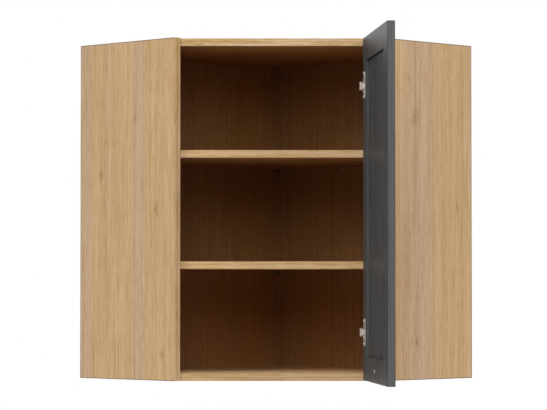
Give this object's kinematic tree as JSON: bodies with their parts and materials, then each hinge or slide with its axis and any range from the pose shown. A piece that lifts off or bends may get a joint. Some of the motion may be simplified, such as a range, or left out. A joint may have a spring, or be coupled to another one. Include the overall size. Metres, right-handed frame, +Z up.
{
  "type": "corner wall cabinet",
  "caption": "Five-sided wall cabinet for a room corner, with shelves behind a framed door on concealed hinges across its diagonal front.",
  "frame": {"origin": "on the room corner's vertical line, at the cabinet's underside: the outer edge where the two wall faces meet", "axes": "+X to the right seen from the room, +Y from the door towards the room corner, +Z up; the cabinet's diagonal front faces -Y"},
  "size_m": [0.8486, 1.0221, 0.72],
  "materials": {
    "oak_decor": "melamine-faced board with an artisan oak decor, grain upright",
    "oak_edging": "1 mm edging with a matching oak decor",
    "graphite": "satin graphite foil on fibreboard",
    "nickel": "nickel-plated steel",
    "zinc": "bright zinc-plated steel",
    "black_metal": "matt black paint on a zinc casting",
    "beech": "plain beech"
  },
  "bodies": {
    "carcass": {"left_side_panel": "oak_decor", "right_side_panel": "oak_decor", "top_panel": "oak_decor", "bottom_panel": "oak_decor", "left_back_board": "oak_decor", "right_back_board": "oak_decor", "lower_shelf": "oak_decor", "upper_shelf": "oak_decor", "left_side_edging": "oak_edging", "right_side_edging": "oak_edging", "top_edging": "oak_edging", "bottom_edging": "oak_edging", "lower_shelf_edging": "oak_edging", "upper_shelf_edging": "oak_edging", "dowel_top_left_front": "beech", "dowel_top_left_rear": "beech", "dowel_top_right_front": "beech", "dowel_top_right_rear": "beech", "dowel_bottom_left_front": "beech", "dowel_bottom_left_rear": "beech", "dowel_bottom_right_front": "beech", "dowel_bottom_right_rear": "beech", "lower_shelf_pin_left_front": "nickel", "lower_shelf_pin_left_rear": "nickel", "lower_shelf_pin_right_front": "nickel", "lower_shelf_pin_back_far": "nickel", "lower_shelf_pin_back_corner": "nickel", "upper_shelf_pin_left_front": "nickel", "upper_shelf_pin_left_rear": "nickel", "upper_shelf_pin_right_front": "nickel", "upper_shelf_pin_back_far": "nickel", "upper_shelf_pin_back_corner": "nickel", "left_hanger_plate": "zinc", "right_hanger_plate": "zinc", "lower_hinge_arm": "nickel", "lower_hinge_mounting_plate": "nickel", "lower_hinge_pivot_pin": "nickel", "lower_hinge_plate_screw_top": "nickel", "lower_hinge_plate_screw_bottom": "nickel", "upper_hinge_arm": "nickel", "upper_hinge_mounting_plate": "nickel", "upper_hinge_pivot_pin": "nickel", "upper_hinge_plate_screw_top": "nickel", "upper_hinge_plate_screw_bottom": "nickel"},
    "door": {"door_hinge_stile": "graphite", "door_free_stile": "graphite", "door_top_rail": "graphite", "door_bottom_rail": "graphite", "door_centre_panel": "graphite", "knob": "black_metal", "knob_screw": "zinc", "lower_hinge_cup": "nickel", "lower_hinge_cup_screw_top": "nickel", "lower_hinge_cup_screw_bottom": "nickel", "upper_hinge_cup": "nickel", "upper_hinge_cup_screw_top": "nickel", "upper_hinge_cup_screw_bottom": "nickel"},
    "lower_link": {"lower_hinge_link": "nickel"},
    "upper_link": {"upper_hinge_link": "nickel"}
  },
  "joints": [
    {"name": "door_hinge", "type": "hinge", "parent": "carcass", "child": "door", "pos_m": [0.19212, -0.63258, 0.36], "axis": [0, 0, 1], "range_deg": [-94.93, 0]},
    {"name": "lower_link_pivot", "type": "hinge", "parent": "carcass", "child": "lower_link", "pos_m": [0.17731, -0.63021, 0.102], "axis": [0, 0, 1], "range_deg": [0, 25.7]},
    {"name": "upper_link_pivot", "type": "hinge", "parent": "carcass", "child": "upper_link", "pos_m": [0.17731, -0.63021, 0.618], "axis": [0, 0, 1], "range_deg": [0, 25.7]}
  ],
  "couplings": [
    {"joint": "lower_link_pivot", "follows": "door_hinge", "ratio": -0.2697},
    {"joint": "upper_link_pivot", "follows": "door_hinge", "ratio": -0.2697}
  ]
}
